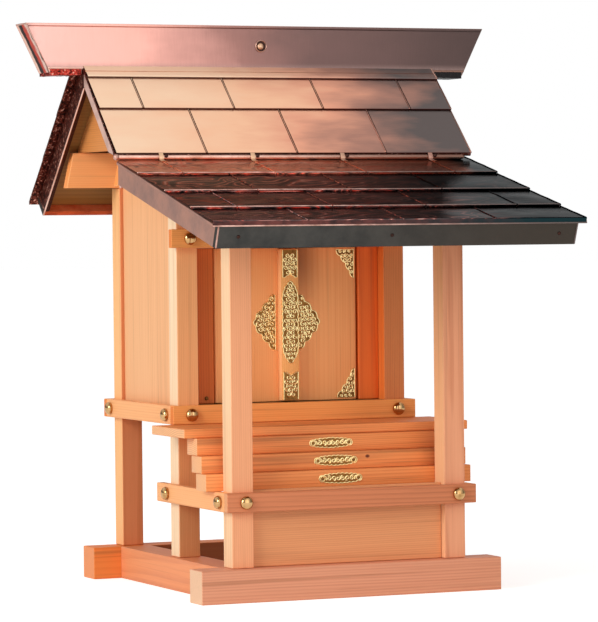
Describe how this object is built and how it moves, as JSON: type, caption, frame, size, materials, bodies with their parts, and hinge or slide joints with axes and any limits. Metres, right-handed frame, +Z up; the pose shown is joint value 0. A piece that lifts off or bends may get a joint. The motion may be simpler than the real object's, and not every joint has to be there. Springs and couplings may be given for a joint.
{
  "type": "miniature shinto shrine",
  "caption": "Small wooden shrine on a post and beam base, with steps, a double door and a copper-clad gable roof that runs on over a porch.",
  "frame": {"origin": "middle of the whole shrine's footprint, on the ground", "axes": "+Z up, +X along the ridge to the viewer's right, the doors face -Y"},
  "size_m": [0.546, 0.5466, 0.6107],
  "materials": {
    "cypress": "planed, unpainted",
    "cypress_pale": "planed, unpainted",
    "cypress_door": "planed, unpainted",
    "copper_sheet": "bright copper sheet",
    "copper_sheet_dark": "copper sheet in shade"
  },
  "bodies": {
    "shrine": {"apron_board": "cypress_pale", "base_front_beam": "cypress", "base_rear_beam": "cypress", "base_side_beam_left": "cypress", "base_side_beam_right": "cypress", "body_post_front_left": "cypress", "body_post_front_right": "cypress", "body_post_rear_left": "cypress", "body_post_rear_right": "cypress", "door_head": "cypress", "door_jamb_left": "cypress", "door_jamb_right": "cypress", "floor_board": "cypress", "gable_board_left": "cypress_pale", "gable_board_right": "cypress_pale", "lower_rail_front": "cypress", "lower_rail_left": "cypress", "lower_rail_right": "cypress", "main_barge_left": "copper_sheet_dark", "main_barge_right": "copper_sheet_dark", "main_roof_board_front": "cypress", "main_roof_board_rear": "cypress", "main_roof_copper": "copper_sheet", "platform": "cypress", "porch_barge_left": "copper_sheet_dark", "porch_barge_right": "copper_sheet_dark", "porch_beam": "cypress", "porch_eave_board": "copper_sheet_dark", "porch_ledger": "cypress", "porch_post_left": "cypress", "porch_post_right": "cypress", "porch_roof_board": "cypress", "porch_roof_copper": "copper_sheet_dark", "rear_eave_board": "copper_sheet_dark", "rear_wall": "cypress_pale", "ridge_box": "copper_sheet", "side_wall_left": "cypress_pale", "side_wall_right": "cypress_pale", "step_lower": "cypress", "step_middle": "cypress", "step_upper": "cypress", "top_rail_front": "cypress", "transom_board": "cypress", "upper_rail_front": "cypress", "upper_rail_left": "cypress", "upper_rail_rear": "cypress", "upper_rail_right": "cypress", "wall_plate_front": "cypress", "wall_plate_rear": "cypress"},
    "left_leaf": {"door_left": "cypress_door", "door_batten": "cypress_door"},
    "right_leaf": {"door_right": "cypress_door"}
  },
  "joints": [
    {"name": "left_leaf_hinge", "type": "hinge", "parent": "shrine", "child": "left_leaf", "pos_m": [-0.0797, 0.03425, 0.28], "axis": [0, 0, -1], "range_deg": [0, 90]},
    {"name": "right_leaf_hinge", "type": "hinge", "parent": "shrine", "child": "right_leaf", "pos_m": [0.0797, 0.03425, 0.28], "axis": [0, 0, 1], "range_deg": [0, 90]}
  ]
}
